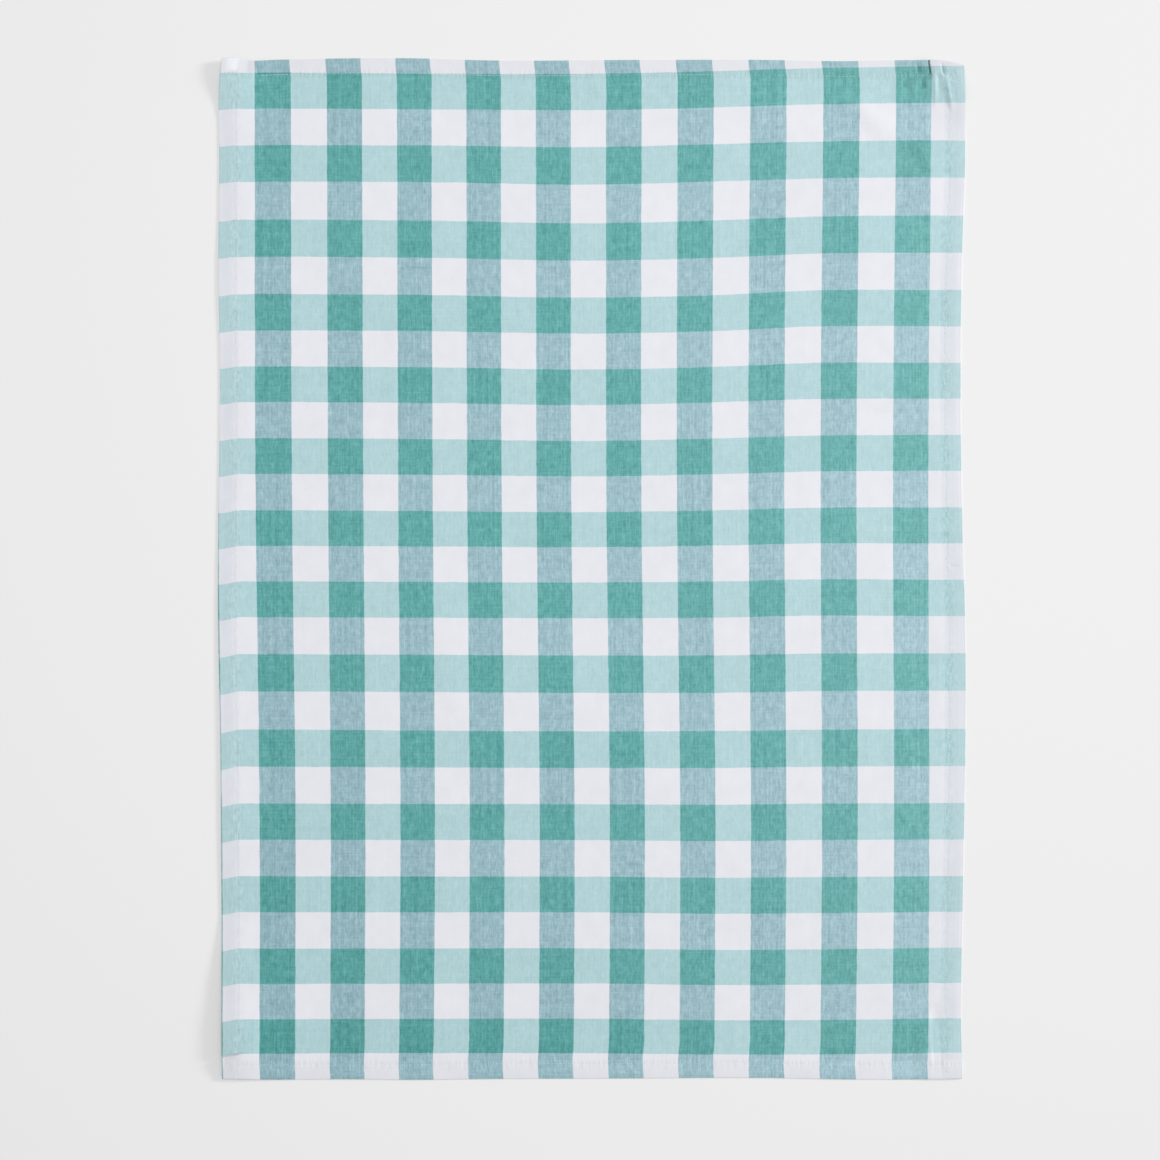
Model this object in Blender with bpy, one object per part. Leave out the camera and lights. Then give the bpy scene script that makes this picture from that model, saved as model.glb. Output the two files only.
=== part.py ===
"""A hemmed cotton tea towel, lying flat with its face up.

Units are metres and +Z is up. The towel rests on the plane z = 0 with its middle over
the origin, and +Y is its top end. It is one piece of cloth: a single layer inside a
thicker border, where all four edges are turned under twice and sewn down.
"""

import math
from typing import NamedTuple

import bmesh
import bpy
import numpy as np

# The finished towel.
WIDTH = 0.505
LENGTH = 0.6915

# Thicknesses. The single layer counts the air that the softly waved cloth holds under it.
SHEET = 0.0011
HEM = 0.0021
CORNER = 0.0030  # where one hem is folded over the end of another

HEM_WIDTH = 0.013
HEM_SLOPE = 0.0035  # how far the cloth takes to come down beside the hem
FOLD_ROUND = 0.0006  # how far a folded edge bulges outwards

CLOTH_COLOUR = (0.397, 0.584, 0.604, 1.0)
CLOTH_ROUGHNESS = 0.85


class Zone(NamedTuple):
    """A stretch of cloth up to a distance from the left side or lower end, in equal cells."""

    end: float
    cells: int


ACROSS = (
    Zone(end=0.002, cells=1),
    Zone(end=HEM_WIDTH, cells=2),
    Zone(end=HEM_WIDTH + HEM_SLOPE, cells=1),
    Zone(end=0.065, cells=6),
    Zone(end=0.452, cells=28),
    Zone(end=WIDTH - HEM_WIDTH - HEM_SLOPE, cells=12),
    Zone(end=WIDTH - HEM_WIDTH, cells=1),
    Zone(end=WIDTH - 0.002, cells=4),
    Zone(end=WIDTH, cells=1),
)
ALONG = (
    Zone(end=0.002, cells=1),
    Zone(end=HEM_WIDTH, cells=2),
    Zone(end=HEM_WIDTH + HEM_SLOPE, cells=1),
    Zone(end=0.095, cells=9),
    Zone(end=0.634, cells=38),
    Zone(end=LENGTH - HEM_WIDTH - HEM_SLOPE, cells=11),
    Zone(end=LENGTH - HEM_WIDTH, cells=1),
    Zone(end=LENGTH - 0.002, cells=3),
    Zone(end=LENGTH, cells=1),
)


class SideRow(NamedTuple):
    """How far the two long edges lie to the right of straight, at one height."""

    y: float
    left: float
    right: float


SIDES = (
    SideRow(y=-0.346, left=0.0015, right=-0.0005),
    SideRow(y=-0.317, left=0.0007, right=-0.0013),
    SideRow(y=-0.220, left=0.0013, right=-0.0002),
    SideRow(y=-0.121, left=0.0003, right=0.0015),
    SideRow(y=-0.021, left=-0.0013, right=0.0011),
    SideRow(y=0.028, left=-0.0011, right=-0.0004),
    SideRow(y=0.125, left=0.0006, right=-0.0017),
    SideRow(y=0.225, left=-0.0002, right=-0.0005),
    SideRow(y=0.276, left=0.0003, right=0.0013),
    SideRow(y=0.322, left=-0.0006, right=0.0010),
    SideRow(y=0.346, left=0.0018, right=0.0),
)


class EndRow(NamedTuple):
    """How far the lower and the top edge lie above straight, at one place across."""

    x: float
    lower: float
    top: float


ENDS = (
    EndRow(x=-0.2525, lower=0.0003, top=0.0006),
    EndRow(x=-0.215, lower=-0.0002, top=0.0001),
    EndRow(x=-0.166, lower=0.0001, top=0.0010),
    EndRow(x=-0.120, lower=-0.0003, top=0.0010),
    EndRow(x=-0.071, lower=0.0002, top=-0.0004),
    EndRow(x=0.023, lower=0.0006, top=-0.0001),
    EndRow(x=0.120, lower=0.0009, top=-0.0001),
    EndRow(x=0.169, lower=0.0, top=-0.0009),
    EndRow(x=0.218, lower=-0.0001, top=-0.0003),
    EndRow(x=0.237, lower=0.0001, top=-0.0007),
    EndRow(x=0.2525, lower=0.0003, top=-0.0040),
)


class Swell(NamedTuple):
    """A soft rise or hollow: its middle, how far it reaches each way, and its height."""

    x: float
    y: float
    reach_x: float
    reach_y: float
    height: float


# Where the cloth leaves the table, on both of its sides.
LIFTS = (
    Swell(x=-0.2525, y=0.3457, reach_x=0.038, reach_y=0.046, height=0.0062),
    Swell(x=-0.2525, y=-0.3200, reach_x=0.050, reach_y=0.058, height=0.0070),
)

# Where only its upper side is uneven.
SWELLS = (
    Swell(x=-0.155, y=-0.290, reach_x=0.110, reach_y=0.080, height=0.0007),
    Swell(x=0.060, y=-0.230, reach_x=0.120, reach_y=0.100, height=0.0004),
    Swell(x=-0.120, y=-0.040, reach_x=0.090, reach_y=0.120, height=0.0004),
    Swell(x=0.120, y=0.020, reach_x=0.100, reach_y=0.130, height=0.0005),
    Swell(x=-0.040, y=0.190, reach_x=0.130, reach_y=0.090, height=0.0004),
    Swell(x=0.185, y=0.250, reach_x=0.070, reach_y=0.070, height=0.0007),
)


class Crease(NamedTuple):
    """A soft ridge along a line, fading out at both ends. A negative height is a trough."""

    x0: float
    y0: float
    x1: float
    y1: float
    half_width: float
    height: float


CREASES = (
    # The slanting fold in the third white check from the top right.
    Crease(x0=0.172, y0=0.322, x1=0.218, y1=0.284, half_width=0.012, height=0.0009),
    # Left from packing: one across the towel, one up its left half, one at the lower left.
    Crease(x0=-0.115, y0=0.108, x1=0.020, y1=0.106, half_width=0.016, height=0.0005),
    Crease(x0=-0.094, y0=-0.115, x1=-0.092, y1=-0.025, half_width=0.016, height=0.0005),
    Crease(x0=-0.155, y0=-0.235, x1=-0.135, y1=-0.195, half_width=0.014, height=0.0005),
)

# The top hem is gathered near the right corner, and small folds fan out below it.
PUCKERS = 5
PUCKER_FIRST_X = 0.2075
PUCKER_PITCH = 0.0108
PUCKER_TOP_Y = LENGTH / 2 - 0.0015
PUCKER_LENGTH = 0.036
PUCKER_FAN = 0.14  # how far each leans outwards, as a share of its distance from the middle one
PUCKER_HALF_WIDTH = 0.0050
PUCKER_HEIGHT = 0.0013


def stations(zones):
    """The distances of the mesh lines, from the first edge to the last."""
    lines = [0.0]
    for zone in zones:
        lines += list(np.linspace(lines[-1], zone.end, zone.cells + 1)[1:])
    return lines


def smooth_row(rows, column, at):
    """A column's value at a place, on a smooth curve through the table's rows."""
    places = np.array([row[0] for row in rows])
    values = np.array([getattr(row, column) for row in rows])
    slopes = np.gradient(values, places)
    k = int(np.clip(np.searchsorted(places, at) - 1, 0, len(places) - 2))
    span = places[k + 1] - places[k]
    t = min(max((at - places[k]) / span, 0.0), 1.0)
    ease = t * t * (3 - 2 * t)
    leaving = t * (1 - t) ** 2 * span * slopes[k]
    arriving = t * t * (t - 1) * span * slopes[k + 1]
    return values[k] * (1 - ease) + values[k + 1] * ease + leaving + arriving


def swell_height(swells, x, y):
    total = 0.0
    for swell in swells:
        reach = ((x - swell.x) / swell.reach_x) ** 2 + ((y - swell.y) / swell.reach_y) ** 2
        total += swell.height * max(0.0, 1 - reach) ** 2
    return total


def crease_height(creases, x, y):
    total = 0.0
    for crease in creases:
        run_x, run_y = crease.x1 - crease.x0, crease.y1 - crease.y0
        run = math.hypot(run_x, run_y)
        along = ((x - crease.x0) * run_x + (y - crease.y0) * run_y) / run**2
        aside = ((x - crease.x0) * run_y - (y - crease.y0) * run_x) / run
        fade = max(0.0, 1 - (2 * along - 1) ** 2)
        total += crease.height * fade * max(0.0, 1 - (aside / crease.half_width) ** 2) ** 2
    return total


def pucker_creases():
    made = []
    for k in range(PUCKERS):
        from_middle = PUCKER_PITCH * (k - (PUCKERS - 1) / 2)
        x0 = PUCKER_FIRST_X + PUCKER_PITCH * k
        x1 = x0 + PUCKER_FAN * from_middle
        made.append(
            Crease(
                x0, PUCKER_TOP_Y, x1, PUCKER_TOP_Y - PUCKER_LENGTH, PUCKER_HALF_WIDTH, PUCKER_HEIGHT
            )
        )
    return tuple(made)


def hem_share(distance):
    """1 on a hem, 0 on the single layer, for a distance in from the folded edge."""
    t = min(max((distance - HEM_WIDTH) / HEM_SLOPE, 0.0), 1.0)
    return 1 - t * t * (3 - 2 * t)


def thickness(x, y, creases):
    side = hem_share(WIDTH / 2 - abs(x))
    end = hem_share(LENGTH / 2 - abs(y))
    border = SHEET + (HEM - SHEET) * max(side, end) + (CORNER - HEM) * side * end
    return border + swell_height(SWELLS, x, y) + crease_height(creases, x, y)


def place(x, y, level, creases):
    """Where a point of the flat rectangle goes; level is 0 on the underside and 1 on top."""
    across, along = x / WIDTH + 0.5, y / LENGTH + 0.5
    shift_x = smooth_row(SIDES, "left", y) * (1 - across) + smooth_row(SIDES, "right", y) * across
    shift_y = smooth_row(ENDS, "lower", x) * (1 - along) + smooth_row(ENDS, "top", x) * along
    bulge = FOLD_ROUND * 4 * level * (1 - level)
    out_x = bulge * round(2 * across - 1) if across in (0.0, 1.0) else 0.0
    out_y = bulge * round(2 * along - 1) if along in (0.0, 1.0) else 0.0
    z = swell_height(LIFTS, x, y) + level * thickness(x, y, creases)
    return x + shift_x + out_x, y + shift_y + out_y, z


def towel_mesh():
    columns, rows = stations(ACROSS), stations(ALONG)
    cells_x, cells_y = len(columns) - 1, len(rows) - 1
    cloth = bmesh.new()
    bmesh.ops.create_grid(cloth, x_segments=cells_x, y_segments=cells_y, size=0.5)
    top = bmesh.ops.extrude_face_region(cloth, geom=cloth.faces[:])["geom"]
    for part in top:
        if isinstance(part, bmesh.types.BMVert):
            part.co.z = 1.0
    walls = [edge for edge in cloth.edges if edge.verts[0].co.z != edge.verts[1].co.z]
    bmesh.ops.subdivide_edges(cloth, edges=walls, cuts=1)
    creases = CREASES + pucker_creases()
    for vert in cloth.verts:
        x = columns[round((vert.co.x + 0.5) * cells_x)] - WIDTH / 2
        y = rows[round((vert.co.y + 0.5) * cells_y)] - LENGTH / 2
        vert.co = place(x, y, vert.co.z, creases)
    for axis in (0, 1):
        reach = [vert.co[axis] for vert in cloth.verts]
        middle = (min(reach) + max(reach)) / 2
        for vert in cloth.verts:
            vert.co[axis] -= middle
    bmesh.ops.recalc_face_normals(cloth, faces=cloth.faces[:])
    mesh = bpy.data.meshes.new("towel_cloth")
    cloth.to_mesh(mesh)
    cloth.free()
    mesh.shade_smooth()
    mesh.set_sharp_from_angle(angle=math.radians(50))
    return mesh


def cotton():
    material = bpy.data.materials.new("checked_cotton")
    material.use_nodes = True
    shader = material.node_tree.nodes["Principled BSDF"]
    shader.inputs["Base Color"].default_value = CLOTH_COLOUR
    shader.inputs["Roughness"].default_value = CLOTH_ROUGHNESS
    shader.inputs["Metallic"].default_value = 0.0
    return material


for old in list(bpy.data.objects):
    bpy.data.objects.remove(old)

towel = bpy.data.objects.new("towel_cloth", towel_mesh())
towel.data.materials.append(cotton())
bpy.context.scene.collection.objects.link(towel)
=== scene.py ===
"""A cotton tea towel in green-teal and white gingham, hemmed all round and laid flat, face up.

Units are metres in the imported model's frame: the towel lies on z = 0, +Y is its top end.
"""

import math
from typing import NamedTuple

import bpy
import numpy as np
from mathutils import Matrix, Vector


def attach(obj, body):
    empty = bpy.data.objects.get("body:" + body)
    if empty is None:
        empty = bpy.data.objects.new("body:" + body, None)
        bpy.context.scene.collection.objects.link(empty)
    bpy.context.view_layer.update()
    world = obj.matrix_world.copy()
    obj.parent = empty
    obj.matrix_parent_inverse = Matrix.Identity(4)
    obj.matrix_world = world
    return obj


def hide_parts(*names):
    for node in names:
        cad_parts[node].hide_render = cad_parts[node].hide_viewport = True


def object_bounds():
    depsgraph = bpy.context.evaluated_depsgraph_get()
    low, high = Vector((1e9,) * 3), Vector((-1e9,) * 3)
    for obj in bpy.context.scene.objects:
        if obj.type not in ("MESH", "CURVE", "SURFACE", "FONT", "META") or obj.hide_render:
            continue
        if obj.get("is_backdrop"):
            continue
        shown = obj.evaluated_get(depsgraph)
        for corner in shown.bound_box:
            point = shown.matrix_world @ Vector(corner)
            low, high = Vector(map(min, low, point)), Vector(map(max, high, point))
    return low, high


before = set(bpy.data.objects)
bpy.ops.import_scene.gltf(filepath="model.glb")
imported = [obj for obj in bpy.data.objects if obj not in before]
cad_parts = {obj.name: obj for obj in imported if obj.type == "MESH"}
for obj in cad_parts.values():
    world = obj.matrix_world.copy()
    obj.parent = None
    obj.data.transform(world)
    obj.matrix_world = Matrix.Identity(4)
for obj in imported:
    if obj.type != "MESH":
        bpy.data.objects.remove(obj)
cad_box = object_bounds()

# ----------------------------------------------------------
# The cloth. One cut length of plain-woven cotton gingham. All four edges are turned to the
# back twice, first 10 mm of raw edge and then the hem's own width: the long sides first,
# and the two ends over them, so that the corners are nine layers thick.
# ----------------------------------------------------------

WIDTH = 0.505
LENGTH = 0.6915
TURNED_IN = 0.010
FLAT_SIZE = (0.551, 0.7375)

LAYER = 0.00022  # the cloth's own thickness
LAYER_PITCH = 0.00024  # from one layer of a hem to the next
CORNER_PRESS = 0.80  # the nine layers of a corner lie closer, by this factor
AIR = 0.00042  # mean height of the softly waved cloth over the table
EDGE_AIR = 0.15  # of that, under the folded edges
LEAST_AIR = 0.00006
HEM_SLOPE = 0.0200  # how far the cloth takes to come down beside a hem
EDGE_PRESS = 0.25  # how much flatter the hems are pressed at their folded edges
EDGE_PRESS_REACH = 0.0100
CORNER_NEST = 0.2  # how much tighter a corner's folds are, for each layer of the other hem
SEAM_BITE = 0.09  # how much the stitching squeezes the layers
CORNER_BITE = 0.15  # of that, through the nine layers of a corner
SEAM_GROOVE = 0.0011  # half the width of the squeezed strip
STITCH = 0.0027


class Hem(NamedTuple):
    """One edge's hem: its width, how far in from the fold it is sewn, and how much of the
    layers turned under it shows through its front."""

    width: float
    seam_in: float
    shows: float


SIDE_HEMS = (  # left and right
    Hem(width=0.0130, seam_in=0.0110, shows=0.12),
    Hem(width=0.0150, seam_in=0.0110, shows=0.17),
)
END_HEMS = (Hem(width=0.0130, seam_in=0.0103, shows=0.013),) * 2  # lower and top


class SideRow(NamedTuple):
    """How far the two long edges lie to the right of straight, at one height."""

    y: float
    left: float
    right: float


SIDES = (
    SideRow(y=-0.346, left=0.0024, right=-0.0005),
    SideRow(y=-0.317, left=0.0024, right=-0.0013),
    SideRow(y=-0.220, left=0.0019, right=-0.0002),
    SideRow(y=-0.121, left=0.0013, right=0.0015),
    SideRow(y=-0.021, left=-0.0005, right=0.0011),
    SideRow(y=0.028, left=-0.0003, right=-0.0004),
    SideRow(y=0.125, left=0.0008, right=-0.0017),
    SideRow(y=0.225, left=-0.0001, right=-0.0005),
    SideRow(y=0.276, left=0.0005, right=0.0013),
    SideRow(y=0.322, left=0.0004, right=0.0010),
    SideRow(y=0.346, left=0.0024, right=0.0),
)


class EndRow(NamedTuple):
    """How far the lower and the top edge lie above straight, at one place across."""

    x: float
    lower: float
    top: float


ENDS = (
    EndRow(x=-0.2525, lower=0.0003, top=0.0004),
    EndRow(x=-0.2420, lower=0.0001, top=0.0011),
    EndRow(x=-0.2360, lower=0.0, top=-0.0002),
    EndRow(x=-0.215, lower=-0.0002, top=0.0001),
    EndRow(x=-0.166, lower=0.0001, top=0.0010),
    EndRow(x=-0.120, lower=-0.0003, top=0.0010),
    EndRow(x=-0.071, lower=0.0002, top=-0.0004),
    EndRow(x=0.023, lower=0.0006, top=-0.0001),
    EndRow(x=0.120, lower=0.0009, top=-0.0001),
    EndRow(x=0.169, lower=0.0, top=-0.0009),
    EndRow(x=0.218, lower=-0.0001, top=-0.0003),
    EndRow(x=0.237, lower=0.0001, top=-0.0007),
    EndRow(x=0.2525, lower=0.0003, top=-0.0040),
)
OUTLINE_MIDDLE = (0.000178, 0.000416)  # the middle of the outline that the two tables give


class Swell(NamedTuple):
    """A soft rise: its middle, how far it reaches each way, and its height."""

    x: float
    y: float
    reach_x: float
    reach_y: float
    height: float


SWELLS = (
    # The two corners on the left, which stand up off the table.
    Swell(x=-0.2525, y=0.3457, reach_x=0.034, reach_y=0.046, height=0.0017),
    Swell(x=-0.2535, y=0.3475, reach_x=0.0165, reach_y=0.026, height=0.0012),
    Swell(x=-0.2525, y=-0.2980, reach_x=0.080, reach_y=0.068, height=0.0029),
    Swell(x=-0.2525, y=-0.3190, reach_x=0.050, reach_y=0.030, height=0.0013),
    # The left edge, which isn't pressed flat everywhere, and the gathered corner.
    Swell(x=-0.2525, y=-0.1200, reach_x=0.020, reach_y=0.180, height=0.0005),
    Swell(x=-0.2525, y=0.1950, reach_x=0.015, reach_y=0.050, height=0.0003),
    Swell(x=0.2600, y=0.3480, reach_x=0.055, reach_y=0.056, height=0.0038),
    # Broad rises of the single layer.
    Swell(x=-0.155, y=-0.290, reach_x=0.110, reach_y=0.080, height=0.0007),
    Swell(x=0.060, y=-0.230, reach_x=0.120, reach_y=0.100, height=0.0004),
    Swell(x=-0.120, y=-0.040, reach_x=0.090, reach_y=0.120, height=0.0004),
    Swell(x=0.120, y=0.020, reach_x=0.100, reach_y=0.130, height=0.0005),
    Swell(x=-0.040, y=0.190, reach_x=0.130, reach_y=0.090, height=0.0004),
    Swell(x=0.185, y=0.250, reach_x=0.070, reach_y=0.070, height=0.0007),
)


class Crease(NamedTuple):
    """A soft ridge along a line, fading out at both ends. A negative height is a trough."""

    x0: float
    y0: float
    x1: float
    y1: float
    half_width: float
    height: float


CREASES = (
    # The slanting fold in the third white check from the top right.
    Crease(x0=0.172, y0=0.322, x1=0.218, y1=0.284, half_width=0.012, height=0.0009),
    # Left from packing: one across the towel, one up its left half, one at the lower left.
    Crease(x0=-0.115, y0=0.108, x1=0.020, y1=0.106, half_width=0.016, height=0.0004),
    Crease(x0=-0.094, y0=-0.115, x1=-0.092, y1=-0.025, half_width=0.016, height=0.0004),
    Crease(x0=-0.155, y0=-0.235, x1=-0.135, y1=-0.195, half_width=0.014, height=0.0004),
    # The gathered hem at the top right: pleats sewn in across it, and folds that fan out below.
    Crease(x0=0.2281, y0=0.3490, x1=0.2300, y1=0.3335, half_width=0.0009, height=-0.0050),
    Crease(x0=0.2215, y0=0.3440, x1=0.2232, y1=0.3360, half_width=0.0022, height=-0.0016),
    Crease(x0=0.2376, y0=0.3440, x1=0.2388, y1=0.3345, half_width=0.0014, height=-0.0009),
    Crease(x0=0.2130, y0=0.3335, x1=0.2134, y1=0.3255, half_width=0.0017, height=-0.0016),
    Crease(x0=0.2262, y0=0.3355, x1=0.2232, y1=0.3255, half_width=0.0015, height=-0.0014),
    Crease(x0=0.2352, y0=0.3360, x1=0.2366, y1=0.3240, half_width=0.0016, height=-0.0009),
    Crease(x0=0.2085, y0=0.3345, x1=0.2075, y1=0.3160, half_width=0.0034, height=0.0005),
    Crease(x0=0.2186, y0=0.3345, x1=0.2176, y1=0.3120, half_width=0.0034, height=0.0007),
    Crease(x0=0.2318, y0=0.3400, x1=0.2326, y1=0.3140, half_width=0.0020, height=0.0008),
    Crease(x0=0.2392, y0=0.3360, x1=0.2440, y1=0.3120, half_width=0.0020, height=0.0009),
    Crease(x0=0.2474, y0=0.3420, x1=0.2478, y1=0.3330, half_width=0.0018, height=0.0005),
    # The dip beside the side hem at the lower right.
    Crease(x0=0.2342, y0=-0.2940, x1=0.2364, y1=-0.3520, half_width=0.0044, height=-0.0009),
    # Small wrinkles in the hems: half way up the right side, and at the lower left corner.
    Crease(x0=0.2420, y0=0.0040, x1=0.2530, y1=0.0046, half_width=0.0014, height=-0.0014),
    Crease(x0=-0.2560, y0=-0.3320, x1=-0.2385, y1=-0.3277, half_width=0.0012, height=-0.0018),
)

WAVES = 9  # low, crossing waves that keep the single layer from lying dead flat
WAVE_LENGTHS = (0.035, 0.150)
WAVE_HEIGHT = 0.00006


class Zone(NamedTuple):
    """A stretch of cloth up to a distance from the middle, in cells of about one size."""

    end: float
    cell: float


LEFT_ZONES = (
    Zone(end=0.150, cell=0.0070),
    Zone(end=0.2275, cell=0.0045),
    Zone(end=0.2395, cell=0.0024),
)
RIGHT_ZONES = (
    Zone(end=0.150, cell=0.0065),
    Zone(end=0.2050, cell=0.0046),
    Zone(end=0.2275, cell=0.0012),
    Zone(end=0.2318, cell=0.0003),
    Zone(end=0.2375, cell=0.0010),
)
LOWER_ZONES = (
    Zone(end=0.250, cell=0.0065),
    Zone(end=0.3240, cell=0.0040),
    Zone(end=0.33275, cell=0.0006),
)
TOP_ZONES = (
    Zone(end=0.0025, cell=0.0025),
    Zone(end=0.0061, cell=0.0006),
    Zone(end=0.258, cell=0.0065),
    Zone(end=0.3000, cell=0.0045),
    Zone(end=0.33275, cell=0.0016),
)
HEM_CELLS = (6, 3)  # here and below, the first number is for the left and the lower hem
FOLD_CELLS = 6
BACK_CELLS = (11, 12)
INNER_FOLD_CELLS = 4
TURNED_IN_CELLS = (8, 9)
INNER_STEP = 0.0001  # lines lie this far either side of where a hem starts,
RAW_STEP = 0.00015  # of the raw edge in it,
SEAM_STEP = 0.0005  # and of its seam


class Line(NamedTuple):
    """A line of the cloth's mesh: the part of the turned edge that it lies on, and where.

    `at` is metres out from the middle on the front, metres along the back or the turned-in
    layer, and radians on a fold. `flat` is metres from the middle of the flat cloth.
    """

    part: str
    at: float
    flat: float


def stops(start, end, cells):
    """The far ends of that many equal cells between two places."""
    return list(np.linspace(start, end, cells + 1)[1:])


def edge_lines(zones, half, hem, side):
    """The lines from the middle of the cloth out to one raw edge."""
    inner = half - hem.width
    seam = half - hem.seam_in
    raw = inner + TURNED_IN
    fold = half - LAYER_PITCH - LAYER / 2
    back = fold - inner - LAYER_PITCH / 2 - LAYER / 2
    fronts = [0.0]
    for zone in zones:
        cells = max(1, round((zone.end - fronts[-1]) / zone.cell))
        fronts += stops(fronts[-1], zone.end, cells)
    fronts[-1:] = [inner - INNER_STEP, inner + INNER_STEP]
    cells = max(1, round((seam - SEAM_GROOVE - fronts[-1]) / zones[-1].cell))
    fronts += stops(fronts[-1], seam - SEAM_GROOVE, cells)
    fronts += [seam - SEAM_STEP, seam, seam + SEAM_STEP, seam + SEAM_GROOVE]
    fronts += stops(seam + SEAM_GROOVE, raw - RAW_STEP, HEM_CELLS[side])
    fronts += [raw + RAW_STEP, (raw + fold) / 2, fold]
    lines = [Line("front", at, at) for at in sorted(fronts)]
    for part, end, cells, radius in (
        ("fold", math.pi, FOLD_CELLS, LAYER_PITCH),
        ("back", back, BACK_CELLS[side], 1),
        ("inner fold", math.pi, INNER_FOLD_CELLS, LAYER_PITCH / 2),
        ("turned in", TURNED_IN - LAYER, TURNED_IN_CELLS[side], 1),
    ):
        flat = lines[-1].flat
        lines += [Line(part, at, flat + radius * at) for at in stops(0, end, cells)]
    return lines


def both_ways(low_zones, high_zones, half, hems):
    """The lines from one raw edge to the other: the side of the middle each is on, and itself."""
    low = edge_lines(low_zones, half, hems[0], 0)
    high = edge_lines(high_zones, half, hems[1], 1)
    return [(-1, line) for line in reversed(low[1:])] + [(1, line) for line in high]


def turned(line, half, hem, extra, level):
    """How far out a line lies, and how many layers below the top one.

    `extra` is how many layers the hem of the other direction adds there, and `level` is
    which of them this is.
    """
    outer = 1 + extra - level + extra / 2  # the fold's radius, in layers
    inner = 0.5 + extra - level
    spread = LAYER_PITCH * (1 - CORNER_NEST * extra)
    fold = half - LAYER / 2 - (1 + 1.5 * extra) * spread
    inner_fold = half - hem.width + LAYER / 2 + (0.5 + extra) * spread
    if line.part == "front":
        full = half - LAYER / 2 - LAYER_PITCH
        return line.at * fold / full, level
    if line.part == "fold":
        middle = 1 + 1.5 * extra
        return fold + outer * spread * math.sin(line.at), middle - outer * math.cos(line.at)
    if line.part == "back":
        full = hem.width - 1.5 * LAYER_PITCH - LAYER
        return fold + (inner_fold - fold) * line.at / full, 2 + 3 * extra - level
    middle = 1.5 + 2 * extra
    if line.part == "inner fold":
        out = inner_fold - inner * spread * math.sin(line.at)
        return out, middle + inner * math.cos(line.at)
    return inner_fold + line.at, 1 + extra + level


def eased(t):
    """From 0 to 1 as t does, with a soft start and end."""
    return t * t * (3 - 2 * t)


def mound(squared):
    """1 in the middle and 0 from the rim, by the squared distance in reaches."""
    return np.maximum(0, 1 - squared) ** 2


def hem_share(place, half, hems):
    """1 on a hem, 0 on the single layer, at each distance right of or above the middle."""
    width = np.where(place < 0, hems[0].width, hems[1].width)
    return eased(np.clip((np.abs(place) - (half - width - HEM_SLOPE)) / HEM_SLOPE, 0, 1))


def soft_rise(x, y):
    """How far the cloth stands off the table, from its swells, creases and waves."""
    total = np.full(np.broadcast(x, y).shape, AIR)
    random = np.random.default_rng(11)
    for length in np.geomspace(*WAVE_LENGTHS, WAVES):
        angle, phase = random.uniform(0, 2 * math.pi, 2)
        run = x * math.cos(angle) + y * math.sin(angle)
        height = WAVE_HEIGHT * math.sqrt(length / WAVE_LENGTHS[1])
        total += height * np.sin(2 * math.pi * run / length + phase)
    inside = np.minimum(WIDTH / 2 - np.abs(x), LENGTH / 2 - np.abs(y))
    total *= EDGE_AIR + (1 - EDGE_AIR) * np.clip(inside / SIDE_HEMS[0].width, 0, 1)
    for swell in SWELLS:
        reach = ((x - swell.x) / swell.reach_x) ** 2 + ((y - swell.y) / swell.reach_y) ** 2
        total += swell.height * mound(reach)
    for crease in CREASES:
        run_x, run_y = crease.x1 - crease.x0, crease.y1 - crease.y0
        run = math.hypot(run_x, run_y)
        along = ((x - crease.x0) * run_x + (y - crease.y0) * run_y) / run**2
        aside = ((x - crease.x0) * run_y - (y - crease.y0) * run_x) / run
        fade = np.maximum(0, 1 - (2 * along - 1) ** 2)
        total += crease.height * fade * mound((aside / crease.half_width) ** 2)
    return np.maximum(total, LEAST_AIR)


def squeeze(x, y):
    """How closely the layers lie: 1 where they are loose, less at folds, seams and corners."""
    corner = hem_share(x, WIDTH / 2, SIDE_HEMS) * hem_share(y, LENGTH / 2, END_HEMS)
    loose = 1 - (1 - CORNER_PRESS) * corner
    edges = ((WIDTH / 2 - np.abs(x), SIDE_HEMS[0]), (LENGTH / 2 - np.abs(y), END_HEMS[0]))
    for inside, hem in edges:
        near_fold = np.clip(1 - inside / EDGE_PRESS_REACH, 0, 1)
        groove = mound(((inside - hem.seam_in) / SEAM_GROOVE) ** 2)
        loose = loose * (1 - EDGE_PRESS * eased(near_fold))
        loose = loose * (1 - SEAM_BITE * (1 - (1 - CORNER_BITE) * corner) * groove)
    return loose


def layers_at(x, y):
    """How many layers lie at each place: 1, 3 or 9, and numbers between on the slopes."""
    side = 1 + 2 * hem_share(x, WIDTH / 2, SIDE_HEMS)
    end = 1 + 2 * hem_share(y, LENGTH / 2, END_HEMS)
    return side * end


def row_shares(places, at):
    """How much each row of a table counts at each place, for a smooth curve through them."""
    places = np.array(places)
    rows = np.eye(len(places))
    slopes = np.gradient(rows, places, axis=0)
    k = np.clip(np.searchsorted(places, at) - 1, 0, len(places) - 2)
    span = (places[k + 1] - places[k])[..., None]
    t = np.clip((at - places[k])[..., None] / span, 0, 1)
    leaving = t * (1 - t) ** 2 * span * slopes[k]
    arriving = t * t * (t - 1) * span * slopes[k + 1]
    return rows[k] * (1 - eased(t)) + rows[k + 1] * eased(t) + leaving + arriving


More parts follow.
